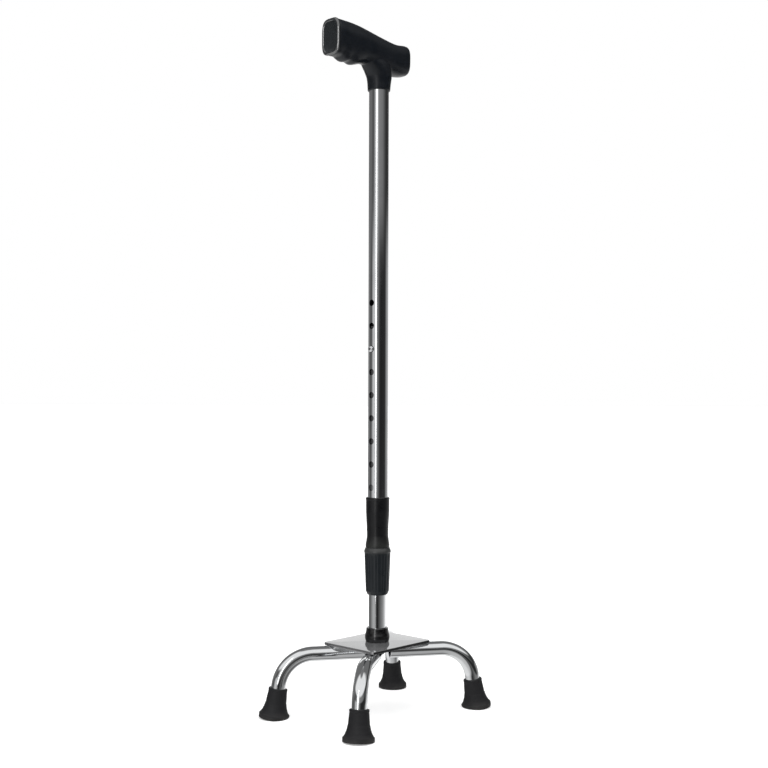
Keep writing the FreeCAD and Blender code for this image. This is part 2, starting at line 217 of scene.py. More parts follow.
def settle(piece):
    """Applies every modifier of a piece to its mesh."""
    graph = bpy.context.evaluated_depsgraph_get()
    made = bpy.data.meshes.new_from_object(piece.evaluated_get(graph))
    piece.modifiers.clear()
    piece.data = made


# ---- materials ----
def new_node(tree, kind, **settings):
    made = tree.nodes.new(kind)
    for key, value in settings.items():
        setattr(made, key, value)
    return made


def new_mix(tree, amount, color_a, color_b):
    """Mixes two colours, each of them a tuple or another node's output."""
    made = new_node(tree, "ShaderNodeMix", data_type="RGBA")
    for socket, color in ((made.inputs["A"], color_a), (made.inputs["B"], color_b)):
        if isinstance(color, tuple):
            socket.default_value = (*color, 1)
        else:
            tree.links.new(color, socket)
    tree.links.new(amount, made.inputs["Factor"])
    return made.outputs["Result"]


class Shade:
    """Builds one procedural material on its Principled shader."""

    def __init__(self, name, color, metallic=0.0, roughness=0.4, ior=1.5, specular=0.5):
        self.material = bpy.data.materials.new(name)
        self.material.use_nodes = True
        self.tree = self.material.node_tree
        self.shader = self.tree.nodes["Principled BSDF"]
        self.shader.inputs["Base Color"].default_value = (*color, 1)
        self.shader.inputs["Metallic"].default_value = metallic
        self.shader.inputs["Roughness"].default_value = roughness
        self.shader.inputs["IOR"].default_value = ior
        self.shader.inputs["Specular IOR Level"].default_value = specular
        self.where = self.node("ShaderNodeTexCoord").outputs["Object"]

    def node(self, kind, **settings):
        return new_node(self.tree, kind, **settings)

    def link(self, source, target):
        self.tree.links.new(source, target)

    def noise(self, scale, detail=3.0, roughness=0.5, stretch=(1, 1, 1)):
        """Noise over the object's own coordinates. scale is in features a metre."""
        mapping = self.node("ShaderNodeMapping")
        mapping.inputs["Scale"].default_value = stretch
        self.link(self.where, mapping.inputs["Vector"])
        made = self.node("ShaderNodeTexNoise")
        made.inputs["Scale"].default_value = scale
        made.inputs["Detail"].default_value = detail
        made.inputs["Roughness"].default_value = roughness
        self.link(mapping.outputs["Vector"], made.inputs["Vector"])
        return made.outputs["Fac"]

    def spread(self, value, low, high, to_low, to_high):
        """value from low to high becomes to_low to to_high, and stays there beyond."""
        made = self.node("ShaderNodeMapRange")
        for key, number in zip(("From Min", "From Max", "To Min", "To Max"), (low, high, to_low, to_high)):
            made.inputs[key].default_value = number
        self.link(value, made.inputs["Value"])
        return made.outputs["Result"]

    def combine(self, operation, a, b):
        made = self.node("ShaderNodeMath", operation=operation)
        for socket, value in zip(made.inputs, (a, b)):
            if isinstance(value, (int, float)):
                socket.default_value = value
            else:
                self.link(value, socket)
        return made.outputs["Value"]

    def tint(self, amount, color_a, color_b):
        return new_mix(self.tree, amount, color_a, color_b)

    def bump(self, *layers):
        """Stacks bumps of (height, depth in metres) on the shader's normal."""
        normal = None
        for height, depth in layers:
            made = self.node("ShaderNodeBump")
            made.inputs["Strength"].default_value = 1.0
            made.inputs["Distance"].default_value = depth
            self.link(height, made.inputs["Height"])
            if normal:
                self.link(normal, made.inputs["Normal"])
            normal = made.outputs["Normal"]
        self.link(normal, self.shader.inputs["Normal"])

    def color(self, source):
        self.link(source, self.shader.inputs["Base Color"])

    def roughness(self, source):
        self.link(source, self.shader.inputs["Roughness"])

    def height(self):
        """The z of each point, in metres."""
        made = self.node("ShaderNodeSeparateXYZ")
        self.link(self.where, made.inputs["Vector"])
        return made.outputs["Z"]


def chrome(name, lines=(1, 1, 0.04), bright=1.0, worn_and_shaded_above=None, metallic=1.0):
    """Bright nickel-chrome plate: polishing lines, faint smears and a slight ripple in the reflections.

    Above the height given, in metres, it is painted dark in streaks, a painted shade inside another
    tube, and rubbed rougher by sliding in it. A metallic below 1 gives it some plain brightness of its own
    where it would mirror nothing but darkness.
    """
    s = Shade(name, (0.76, 0.77, 0.785), metallic=metallic, roughness=0.07)
    smears = s.noise(38, 4, 0.6)
    polish = s.noise(900, 3, 0.6, lines)
    rough = s.combine("ADD", s.spread(smears, 0.45, 0.75, 0.045, 0.11),
                      s.spread(polish, 0.4, 0.8, 0.0, 0.05))
    clear = tuple(c * bright for c in (0.78, 0.79, 0.80))
    smeared = tuple(c * bright for c in (0.70, 0.71, 0.725))
    plated = s.tint(s.spread(smears, 0.5, 0.8, 0, 1), clear, smeared)
    if worn_and_shaded_above:
        # Painted shade: above that height the chrome is painted dark in streaks; the added roughness is
        # rubbed wear.
        streaks = s.spread(s.noise(1500, 3, 0.6, (1, 1, 0.02)), 0.36, 0.60, 0.68, 1.0)
        reached = s.spread(s.height(), worn_and_shaded_above, worn_and_shaded_above + 12 * MM, 0, 1)
        wear_and_shade = s.combine("MULTIPLY", reached, streaks)
        rough = s.combine("ADD", rough, s.combine("MULTIPLY", wear_and_shade, 0.22))
        plated = s.tint(wear_and_shade, plated, (0.20, 0.20, 0.205))
    s.roughness(rough)
    s.color(plated)
    s.bump((s.noise(120, 2, 0.4), 6e-6), (polish, 1.5e-6))
    return s.material


def plastic(name, color, light, rough, grain=1700, depth=1.5e-5, specular=0.25, ior=1.5, painted_sheen=None):
    """Moulded black plastic with a spark-eroded grain, rubbed smoother in places.

    The last argument is (height, height, colour): between those heights the plastic fades to that lighter
    colour, a painted sheen.
    """
    s = Shade(name, color, roughness=rough, specular=specular, ior=ior)
    rubbed = s.noise(55, 4, 0.6)
    fine = s.noise(grain, 3, 0.55)
    s.roughness(s.combine("ADD", s.spread(rubbed, 0.35, 0.7, rough - 0.06, rough + 0.07),
                          s.spread(fine, 0.3, 0.7, -0.03, 0.03)))
    moulded = s.tint(s.spread(rubbed, 0.4, 0.75, 0, 1), color, light)
    # Painted sheen: a lighter band between two heights.
    if painted_sheen:
        moulded = s.tint(s.spread(s.height(), painted_sheen[0], painted_sheen[1], 0, 1), moulded, painted_sheen[2])
    s.color(moulded)
    s.bump((fine, depth), (s.noise(grain / 6, 2, 0.5), depth * 0.8))
    return s.material


def rubber(name):
    """Moulded rubber, matt, with floor dust on the sole and flange."""
    black, dusty = (0.0105, 0.0105, 0.0116), (0.032, 0.031, 0.030)
    s = Shade(name, black, roughness=0.62, specular=0.25)
    cloudy = s.noise(90, 4, 0.6)
    fine = s.noise(2400, 3, 0.6)
    dust = s.combine("MULTIPLY", s.spread(s.height(), 0.5 * MM, 9 * MM, 1, 0),
                     s.spread(cloudy, 0.35, 0.65, 0.2, 1))
    s.color(s.tint(dust, black, dusty))
    s.roughness(s.combine("ADD", s.spread(cloudy, 0.3, 0.7, 0.52, 0.68),
                          s.spread(fine, 0.3, 0.7, -0.03, 0.03)))
    s.bump((fine, 2.0e-5), (s.noise(300, 3, 0.6), 2.5e-5))
    return s.material


def steel(name, color, rough, lines=(1, 1, 0.06)):
    """Plain or zinc-plated steel with drawn or turned lines."""
    s = Shade(name, color, metallic=1.0, roughness=rough)
    drawn = s.noise(1400, 3, 0.6, lines)
    stained = s.noise(160, 4, 0.6)
    s.roughness(s.combine("ADD", s.spread(stained, 0.3, 0.75, rough - 0.05, rough + 0.1),
                          s.spread(drawn, 0.3, 0.7, -0.04, 0.04)))
    s.color(s.tint(s.spread(stained, 0.4, 0.8, 0, 1), color, tuple(c * 0.72 for c in color)))
    s.bump((drawn, 4e-6))
    return s.material


# The inner tube is painted dark above this height, a painted shade inside the outer tube.
INNER_WORN_AND_SHADED_ABOVE = 250 * MM

CHROME_TUBE = chrome("chrome_drawn_tube")
CHROME_INNER = chrome("chrome_inner_tube", worn_and_shaded_above=INNER_WORN_AND_SHADED_ABOVE)
CHROME_LEG = chrome("chrome_bent_tube", (1, 1, 1))
# The plate's chrome is dimmed to 0.47 of the tubes': painted shade, for the darker reflection it shows.
CHROME_PLATE = chrome("chrome_pressed_plate", (0.05, 1, 1), 0.47, metallic=0.72)
SHEARED_EDGE = steel("sheared_plate_edge", (0.42, 0.42, 0.43), 0.36, (1, 1, 0.2))
# Near-black steel for the plate's Y-facing edges: a painted shade of the gap beneath the plate.
SHADED_PLATE_EDGE = steel("shaded_plate_edge", (0.07, 0.07, 0.073), 0.34, (1, 1, 0.2))
# Unplated steel for bores and hole walls, painted near-black: a painted shade inside the tube.
SHADED_TUBE_INSIDE = steel("shaded_tube_inside", (0.10, 0.10, 0.105), 0.45)
CHROME_BUTTON = chrome("chrome_button", (1, 1, 1))
HANDLE_PLASTIC = plastic("handle_moulding", (0.0022, 0.0038, 0.0068), (0.0038, 0.0054, 0.0086), 0.36,
                         specular=0.37)
CAP_PLASTIC = plastic("end_cap_moulding", (0.0072, 0.0090, 0.0108), (0.0100, 0.0120, 0.0140), 0.30,
                      grain=2600, depth=5e-6, specular=0.5)
CAP_RIM = plastic("end_cap_rim", (0.0100, 0.0110, 0.0120), (0.0130, 0.0140, 0.0150), 0.14,
                  grain=2600, depth=1e-6, specular=1.0, ior=1.80)
# The collar's flared foot is painted lighter towards the nut: a painted sheen.
COLLAR_PLASTIC = plastic("collar_moulding", (0.0028, 0.0029, 0.0038), (0.0046, 0.0048, 0.0056), 0.33,
                         depth=1.2e-5, specular=0.4,
                         painted_sheen=(NUT_HIGH.z + 14 * MM, NUT_HIGH.z + 3 * MM, (0.0150, 0.0158, 0.0148)))
# The nut's top ring is painted lighter: a painted highlight where it catches light from above.
NUT_PLASTIC = plastic("lock_nut_moulding", (0.0044, 0.0070, 0.0094), (0.0074, 0.0100, 0.0124), 0.34,
                      depth=1.2e-5, specular=0.45,
                      painted_sheen=(NUT_HIGH.z - 6.5 * MM, NUT_HIGH.z - 4.5 * MM, (0.0280, 0.0290, 0.0290)))
HUB_PLASTIC = plastic("hub_moulding", (0.0018, 0.0018, 0.0021), (0.0034, 0.0034, 0.0038), 0.15,
                      grain=2600, depth=4e-6, specular=0.7)
NYLON = plastic("natural_nylon", (0.62, 0.60, 0.54), (0.70, 0.68, 0.62), 0.45)
RUBBER = rubber("tip_rubber")
ZINC = steel("zinc_plated_steel", (0.60, 0.61, 0.63), 0.30)
SPRING_STEEL = steel("spring_steel", (0.36, 0.37, 0.40), 0.32)
DARK_STEEL = steel("plain_steel", (0.42, 0.42, 0.43), 0.38)


# ---- pole ----
CELL_STEPS = 8
PLAIN_STEPS = 64
CELL_MARGIN = 1.3 * MM
HOLE_LAND = 0.75 * MM
TUBE_CHAMFER = 0.22 * MM


class DrilledTube:
    """The mesh of a tube with round holes through its -X side, their edges lightly chamfered.

    Each hole sits in a square cell of a grid over the tube's wall, and rings lead from the cell's
    edge to the hole, so that the wall about it stays a true cylinder.
    """

    def __init__(self, radius, bottom, top, holes, hole_r):
        self.outer, self.inner, self.hole_r = radius, radius - TUBE_WALL, hole_r
        self.points, self.faces = [], []
        self.lay_out(bottom, top, sorted(holes))
        self.outer_start = self.grid(self.outer)
        self.inner_start = self.grid(self.inner)
        self.wall(self.outer_start, False)
        self.wall(self.inner_start, True)
        for row, z in zip(self.cells, sorted(holes)):
            self.hole(row, z)
        self.end(0, bottom)
        self.end(len(self.heights) - 1, top)

    def lay_out(self, bottom, top, holes):
        """The grid's columns and rows, and the row at which each hole's cell starts."""
        cell = self.hole_r + CELL_MARGIN
        half_angle = cell / self.outer
        rest = 2 * math.pi - 2 * half_angle
        self.angles = [math.pi - half_angle + 2 * half_angle * k / CELL_STEPS
                       for k in range(CELL_STEPS + 1)]
        self.angles += [math.pi + half_angle + rest * k / PLAIN_STEPS for k in range(1, PLAIN_STEPS)]
        self.columns = len(self.angles)
        self.heights, self.cells = [bottom + TUBE_CHAMFER], []
        for z in holes:
            self.cells.append(len(self.heights))
            self.heights += [z - cell + 2 * cell * k / CELL_STEPS for k in range(CELL_STEPS + 1)]
        self.heights.append(top - TUBE_CHAMFER)

    def add(self, points):
        """Adds points and returns their numbers."""
        first = len(self.points)
        self.points += points
        return list(range(first, len(self.points)))

    def level(self, r, z):
        return [Vector((r * math.cos(a), r * math.sin(a), z)) for a in self.angles]

    def grid(self, r):
        start = len(self.points)
        for z in self.heights:
            self.add(self.level(r, z))
        return start

    def wall(self, start, inward):
        for row in range(len(self.heights) - 1):
            in_a_cell = any(c <= row < c + CELL_STEPS for c in self.cells)
            for column in range(CELL_STEPS if in_a_cell else 0, self.columns):
                low, high = start + row * self.columns, start + (row + 1) * self.columns
                across = (column + 1) % self.columns
                face = [low + column, low + across, high + across, high + column]
                self.faces.append(face[::-1] if inward else face)

    def rim(self, start, row):
        """The grid points round the edge of the cell that starts at that row, one way round."""
        walk = [(row, k) for k in range(CELL_STEPS)]
        walk += [(row + k, CELL_STEPS) for k in range(CELL_STEPS)]
        walk += [(row + CELL_STEPS, CELL_STEPS - k) for k in range(CELL_STEPS)]
        walk += [(row + CELL_STEPS - k, 0) for k in range(CELL_STEPS)]
        return [start + r * self.columns + c for r, c in walk]

    def join(self, rings, flipped=False):
        for a, b in zip(rings, rings[1:]):
            for i in range(len(a)):
                j = (i + 1) % len(a)
                face = [a[i], a[j], b[j], b[i]]
                self.faces.append(face[::-1] if flipped else face)

    def hole(self, row, z):
        """Rings from the cell's edge outside, through the wall, to the cell's edge inside."""
        outer_rim = self.rim(self.outer_start, row)
        turns = [math.atan2(self.points[i].z - z, -self.points[i].y) for i in outer_rim]
        land, lip = self.hole_r + HOLE_LAND, self.hole_r + TUBE_CHAMFER
        rings = [outer_rim]
        for r, wall_r in ((land, self.outer), (lip, self.outer), (self.hole_r, self.outer - TUBE_CHAMFER),
                          (self.hole_r, self.inner + TUBE_CHAMFER), (lip, self.inner),
                          (land, self.inner)):
            across = [(-r * math.cos(t), z + r * math.sin(t)) for t in turns]
            rings.append(self.add([Vector((-math.sqrt(wall_r ** 2 - y ** 2), y, at)) for y, at in across]))
        rings.append(self.rim(self.inner_start, row))
        self.join(rings)

    def end(self, row, z):
        """The chamfered end of the wall, at the grid's first or last row."""
        first, last = ([start + row * self.columns + k for k in range(self.columns)]
                       for start in (self.outer_start, self.inner_start))
        lips = [self.add(self.level(r, z)) for r in (self.outer - TUBE_CHAMFER, self.inner + TUBE_CHAMFER)]
        self.join([first, *lips, last], flipped=row == 0)


def drilled_tube(name, radius, bottom, top, holes, hole_r, material):
    """A drilled tube whose bore and hole edges are unplated steel, painted near-black as painted shade."""
    tube = DrilledTube(radius, bottom, top, holes, hole_r)
    made = mesh_object(name, tube.points, tube.faces, material, 28)
    made.data.materials.append(SHADED_TUBE_INSIDE)
    for face in made.data.polygons:
        if math.hypot(face.center.x, face.center.y) < radius - 0.08 * MM:
            face.material_index = 1
    return made


def pole():
    outer = drilled_tube("outer_tube", OUTER_R, OUTER_LOW.z, OUTER_HIGH.z, HOLES, HOLE_R, CHROME_TUBE)
    place(outer, "upper_section", "outer_tube_chrome", "upper_tube")
    inner = drilled_tube("inner_tube", INNER_R, INNER_LOW.z, INNER_HIGH.z, [BUTTON_Z],
                         BUTTON_R + BUTTON_CLEARANCE, CHROME_INNER)
    place(inner, "base", "inner_tube_chrome", "lower_tube")


def snap_button():
    """A domed pin, riveted over inside its leaf spring."""
    reach, seat = -BUTTON_LOW.x / MM, 7.5
    radius = BUTTON_R / MM
    outline = [(0, seat - 1.6), (2.7, seat - 1.6, 0.3), (3.0, seat - 0.8), (1.95, seat - 0.8), (1.95, seat),
               (radius, seat), (radius, reach - 1.2, 0.35), (radius * 0.8, reach - 0.52, 0.9),
               (radius * 0.42, reach - 0.12, 1.2), (0, reach)]
    button = lathe("snap_button_pin", rounded(outline, 5), CHROME_BUTTON, 64, sharp=50)
    move(button, along_x(BUTTON_Z, -1))
    place(button, "button", "button_chrome", "snap_button")


# ---- collar and lock nut ----
def collar():
    """The sleeve on the outer tube: a rolled top edge, a long waist and a flared skirt."""
    top, low = COLLAR_HIGH.z / MM, COLLAR_LOW.z / MM
    tube, skirt_z = OUTER_R / MM, NUT_HIGH.z / MM + 0.3
    widest = COLLAR_HIGH.x / MM
    outline = [(tube, top, 0.3), (13.1, top, 0.8), (13.1, top - 2.4, 0.2), (12.92, top - 2.8, 0.2),
               (12.9, top - 16, 20), (12.0, skirt_z + 23, 20), (11.72, skirt_z + 12.5, 9),
               (widest - 0.1, skirt_z + 3.0, 2.5), (widest, skirt_z, 0.4), (12.6, skirt_z),
               (12.6, low + 0.5), (12.2, low), (11.9, low), (10.6, low + 10), (10.0, low + 10.6),
               (10.0, low + 12), (tube, low + 12)]
    sleeve = lathe("collar_sleeve_moulding", rounded(outline, 8), COLLAR_PLASTIC, 128)
    place(sleeve, "upper_section", "collar_plastic", "collar_sleeve")


FLUTES = 18
FLUTE_DEPTH = 0.55 * MM
FLUTE_FADE = 2 * MM                  # how far the flutes run out beyond each end
NUT_BORE_R = 12.66 * MM


def lock_nut():
    """The clamping nut: a plain ring at its top, then a fluted taper with a rounded foot."""
    top, low = NUT_HIGH.z / MM, NUT_LOW.z / MM
    ring_r = NUT_HIGH.x / MM
    outline = [(12.65, top, 0.25), (13.3, top, 0.5), (14.6, top - 3.0, 3.0), (ring_r, top - 4.4, 0.5),
               (ring_r, top - 5.0, 0.3), (ring_r - 0.5, top - 5.4, 0.3),
               (12.8, low + 4.2, 3.0), (11.0, low, 1.5), (9.85, low, 0.2), (9.85, low + 21.4),
               (12.2, low + 21.4), (12.2, low + 26.5), (12.65, low + 27)]
    flute_top, flute_low = (top - 7.0) * MM, (low + 4.5) * MM

    def inner_wall(radius, z):
        return radius < NUT_BORE_R and z > (low + 15) * MM

    def fluted(radius, angle, z):
        above, below = flute_top + FLUTE_FADE - z, z - flute_low + FLUTE_FADE
        if radius < 11.5 * MM or above < 0 or below < 0 or inner_wall(radius, z):
            return radius
        fade = min(1.0, above / (2 * FLUTE_FADE), below / (2 * FLUTE_FADE))
        fade = fade * fade * (3 - 2 * fade)
        groove = max(0.0, math.cos(angle * FLUTES)) ** 1.5
        return radius - FLUTE_DEPTH * fade * groove

    nut = lathe("lock_nut_moulding", divided(rounded(outline, 5), 0.9 * MM), NUT_PLASTIC,
                FLUTES * 14, fluted)
    place(nut, "nut", "nut_plastic", "lock_nut")


# ---- handle ----
# Stations along the handle, in mm: x, lowest z, highest z, half width, how much narrower below, and
# the power of the section's superellipse: 2 is an ellipse, larger is squarer.
STATIONS = [
    (-73.0, 711.3, 749.3, 13.25, 0.01, 3.6),
    (-69.0, 711.1, 749.6, 13.35, 0.02, 3.4),
    (-63.6, 711.0, 749.9, 13.4, 0.03, 3.1),
    (-60.6, 708.9, 750.1, 13.4, 0.04, 2.9),
    (-56.0, 707.3, 750.35, 13.5, 0.05, 2.8),
    (-50.0, 708.4, 750.3, 13.5, 0.05, 2.7),
    (-44.0, 706.7, 750.0, 13.6, 0.05, 2.7),
    (-37.0, 708.3, 749.4, 13.5, 0.05, 2.7),
    (-29.0, 710.7, 748.4, 13.4, 0.04, 2.6),
    (-20.0, 711.2, 747.1, 13.3, 0.03, 2.6),
    (-10.0, 710.6, 745.4, 13.2, 0.02, 2.7),
    (2.0, 709.6, 743.6, 13.3, 0.02, 2.8),
    (14.0, 708.2, 742.1, 13.3, 0.02, 2.9),
    (22.0, 707.7, 741.8, 13.2, 0.02, 3.0),
    (28.0, 707.9, 742.4, 13.0, 0.02, 3.1),
    (33.0, 708.6, 743.1, 12.8, 0.02, 3.2),
    (36.5, 709.3, 743.1, 12.6, 0.02, 3.2),
]
NOSE_FILLET = 3.9
BACK_FILLET = 0.6
HANDLE_VOXEL = 0.7 * MM
SECTION_POINTS = 88


def smooth_station(x):
    """The station at any x, by a smooth curve through those listed."""
    for k in range(1, len(STATIONS)):
        if x <= STATIONS[k][0] or k == len(STATIONS) - 1:
            break
    rows = [STATIONS[max(0, min(len(STATIONS) - 1, k + n))] for n in (-2, -1, 0, 1)]
    t = min(1.0, max(0.0, (x - rows[1][0]) / (rows[2][0] - rows[1][0])))
    values = []
    for a, b, c, d in zip(*(row[1:] for row in rows)):
        values.append(0.5 * (2 * b + (c - a) * t + (2 * a - 5 * b + 4 * c - d) * t * t
                             + (3 * b - a - 3 * c + d) * t ** 3))
    return values


def section(x, z_low, z_high, half_width, narrower, power):
    """One cross-section of the handle at right angles to X: an egg-shaped superellipse. In metres."""
    middle, half = (z_low + z_high) / 2, (z_high - z_low) / 2
    ring = []
    for i in range(SECTION_POINTS):
        a = 2 * math.pi * i / SECTION_POINTS
        c, s = math.cos(a), math.sin(a)
        up = math.copysign(abs(s) ** (2 / power), s)
        y = math.copysign(abs(c) ** (2 / power), c) * half_width * (1 + narrower * up)
        ring.append(Vector((x, y, middle + up * half)) * MM)
    return ring


def inset(values, amount):
    """A station's values with its outline drawn in by that many mm."""
    z_low, z_high, half_width, narrower, power = values
    return z_low + amount, z_high - amount, half_width - amount, narrower, power


def grip_rings():
    """Rings from the back face, which the end cap covers, to the blunt rounded nose."""
    back, nose = STATIONS[0][0], BODY_HIGH.x / MM
    rings = [[Vector((back, 0, 731)) * MM]]
    rings += [section(back, *inset(STATIONS[0][1:], d)) for d in (8.0, BACK_FILLET)]
    rings += [section(back + BACK_FILLET * (1 - math.cos(a)),
                      *inset(STATIONS[0][1:], BACK_FILLET * (1 - math.sin(a))))
              for a in (math.radians(30), math.radians(60))]
    count = 96
    first, last = back + BACK_FILLET, nose - NOSE_FILLET
    rings += [section(x, *smooth_station(x))
              for x in (first + (last - first) * k / count for k in range(count + 1))]
    end = smooth_station(last)
    for k in range(1, 9):
        a = math.pi / 2 * k / 8
        rings.append(section(last + NOSE_FILLET * math.sin(a), *inset(end, NOSE_FILLET * (1 - math.cos(a)))))
    rings.append(section(nose, *inset(end, 8.0)))
    rings.append([Vector((nose, 0, (end[0] + end[1]) / 2)) * MM])
    return rings


def neck_rings():
    """Level rings from the neck's lower rim up into the grip, drawn out towards the palm end."""
    bottom = BODY_LOW.z / MM
    rings = [[Vector((0, 0, bottom)) * MM]]
    # Height above the rim, half length, half width, and how far the ring is shifted along X, in mm.
    stretches = ((0.0, 11.8, 11.8, 0.0), (0.0, 12.35, 12.35, 0.0), (0.6, 12.6, 12.6, 0.0),
                 (4.0, 12.75, 12.75, 0.0), (8.0, 13.05, 13.05, 0.2), (12.0, 13.7, 13.4, 0.3),
                 (15.0, 14.5, 13.5, 0.2), (18.0, 15.7, 13.5, -0.7), (21.0, 17.0, 13.4, -1.9),
                 (24.0, 18.7, 13.2, -3.2), (28.0, 21.0, 12.8, -4.8), (33.0, 23.0, 12.0, -6.0),
                 (37.0, 23.5, 10.0, -6.2))
    for up, half_length, half_width, shift in stretches:
        rings.append([Vector((shift + half_length * math.cos(a), half_width * math.sin(a), bottom + up)) * MM
                      for a in (2 * math.pi * i / SECTION_POINTS for i in range(SECTION_POINTS))])
    rings.append([Vector((-6.2, 0, bottom + 37)) * MM])
    return rings


def handle():
    """Grip and neck run together into one moulding, with a socket for the tube."""
    grip = skin("handle_moulding", grip_rings(), HANDLE_PLASTIC, False)
    neck = skin("neck", neck_rings(), HANDLE_PLASTIC, False)
    boolean(grip, neck, "UNION")
    remesh = grip.modifiers.new("remesh", "REMESH")
    remesh.mode, remesh.voxel_size, remesh.adaptivity = "VOXEL", HANDLE_VOXEL, 0
    blend = grip.modifiers.new("blend", "SMOOTH")
    blend.factor, blend.iterations = 0.5, 12
    settle(grip)
    rim, tube, top = BODY_LOW.z / MM, OUTER_R / MM, OUTER_HIGH.z / MM
    socket = lathe("socket", rounded([(0, rim - 50), (tube + 0.5, rim - 50), (tube + 0.5, rim + 0.3),
                                      (tube, rim + 0.8), (tube, top), (0, top)]), HANDLE_PLASTIC, 96)
    boolean(grip, socket)
    bore = [(0, SCREW_SEAT), (3.6, SCREW_SEAT), (3.6, 20), (0, 20)]
    seat = lathe("screw_seat", rounded(bore), HANDLE_PLASTIC, 48)
    move(seat, along_x(SCREW_Z, 1))
    boolean(grip, seat)
    finish_smooth(grip, 40)
    place(grip, "upper_section", "handle_plastic", "handle_body")


def finish_smooth(piece, sharp):
    """Smooth shading, with edges sharper than that many degrees kept crisp."""
    mesh = piece.data
    mesh.polygons.foreach_set("use_smooth", [True] * len(mesh.polygons))
    mesh.set_sharp_from_angle(angle=math.radians(sharp))


CAP_HALF_WIDTH = 13.35
CAP_POWER = 3.7


def end_cap():
    """The oval plug in the back of the grip: a bevelled glossy rim round a slightly sunken face."""
    seat, face = STATIONS[0][0], CAP_LOW.x / MM
    low, high = CAP_LOW.z / MM + 0.1, CAP_HIGH.z / MM - 0.1
    rim = (low, high, CAP_HALF_WIDTH, 0.0, CAP_POWER)
    middle = (low + high) / 2
    rings = [[Vector((seat, 0, middle)) * MM]]
    profile = ((seat - face, 5.0), (seat - face, 0.3), (seat - face - 0.3, 0.0), (1.30, 0.0), (1.18, 0.10),
               (0.80, 0.60), (0.42, 1.14), (0.10, 1.66), (0.0, 1.95), (0.0, 2.5), (0.12, 2.75), (0.5, 3.1),
               (0.66, 3.5), (0.75, 7.0), (0.8, 10.0))
    rings += [section(face + depth, *inset(rim, inwards)) for depth, inwards in profile]
    rings.append([Vector((face + 0.8, 0, middle)) * MM])
    cap = skin("end_cap_moulding", rings, CAP_PLASTIC, False, 50)
    cap.data.materials.append(CAP_RIM)
    for facet in cap.data.polygons:
        if facet.center.x < (face + 1.7) * MM and abs(facet.normal.x) < 0.93:
            facet.material_index = 1
    place(cap, "upper_section", "cap_plastic", "handle_end_cap")


def handle_screw():
    """A pan-head screw with a cross recess, seated in the neck's front."""
    seat, tip = SCREW_SEAT, SCREW_LOW.x / MM
    head = SCREW_HIGH.x / MM
    outline = [(0, tip), (1.2, tip + 0.6), (1.9, tip + 1.8), (1.9, seat), (3.4, seat, 0.15),
               (3.4, seat + 1.1, 0.7), (2.2, head - 0.18, 1.5), (0, head)]
    screw = lathe("handle_screw_pan_head", rounded(outline, 5), ZINC, 48, sharp=50)
    for turn in (0, math.pi / 2):
        ends = [[Vector((x * w, y * 0.36, z)) * MM for x, y in ((-1, -1), (1, -1), (1, 1), (-1, 1))]
                for w, z in ((1.0, head - 1.1), (1.75, head + 0.3))]
        slot = skin("slot", ends, ZINC, False)
        close_ends(slot)
        slot.data.transform(Matrix.Rotation(turn, 4, "Z"))
        boolean(screw, slot)
    finish_smooth(screw, 40)
    move(screw, along_x(SCREW_Z, 1))
    place(screw, "upper_section", "screw_steel", "handle_screw")


def close_ends(piece):
    """Closes a four-sided sleeve of two rings into a solid."""
    points = [v.co.copy() for v in piece.data.vertices]
    faces = [tuple(p.vertices) for p in piece.data.polygons] + [(3, 2, 1, 0), (4, 5, 6, 7)]
    mesh = bpy.data.meshes.new(piece.name)
    mesh.from_pydata(points, [], faces)
    piece.data = mesh


# ---- base ----
PLATE_CORNER = 5 * MM
PLATE_HOLE_R = 4.3 * MM
PLATE_EASE = 0.9 * MM


def rounded_rectangle(half_x, half_y, corner, z, steps=10):
    ring = []
    for quarter, (sx, sy) in enumerate(((1, 1), (-1, 1), (-1, -1), (1, -1))):
        for k in range(steps + 1):
            a = math.pi / 2 * (quarter + k / steps)
            ring.append(Vector((sx * (half_x - corner) + corner * math.cos(a),
                                sy * (half_y - corner) + corner * math.sin(a), z)))
    return ring


def base_plate():
    """A flat plate with eased edges and a hole for the bolt.

    The edges that face X have one finish, as on a plate cut from bar, and those that face Y are painted
    near-black, a painted shade of the gap beneath the plate.
    """
    half_x, half_y, corner = PLATE_HIGH.x, PLATE_HIGH.y, PLATE_CORNER
    low, high, hole, ease = PLATE_LOW.z, PLATE_HIGH.z, PLATE_HOLE_R, PLATE_EASE
    rings = []
    for centre_z, start in ((low + ease, -math.pi / 2), (high - ease, 0)):
        for k in range(6):
            a = start + math.pi / 2 * k / 5
            cut = ease * (1 - math.cos(a))
            rings.append(rounded_rectangle(half_x - cut, half_y - cut, corner - cut,
                                           centre_z + ease * math.sin(a)))
    bearings = [math.atan2(p.y, p.x) for p in rings[0]]
    bore = [Vector((hole * math.cos(a), hole * math.sin(a), 0)) for a in bearings]
    rings.append([Vector((p.x, p.y, high)) for p in bore])
    rings.append([Vector((p.x, p.y, low)) for p in bore])
    plate = skin("base_plate_pressing", rings, CHROME_PLATE, True)
    plate.data.materials.append(SHEARED_EDGE)
    plate.data.materials.append(SHADED_PLATE_EDGE)
    # Index 2, the edges that face Y, carries the painted shade.
    for face in plate.data.polygons:
        if abs(face.normal.z) < 0.75:
            face.material_index = 1 if abs(face.normal.x) > abs(face.normal.y) else 2
    place(plate, "base", "plate_chrome", "base_plate")


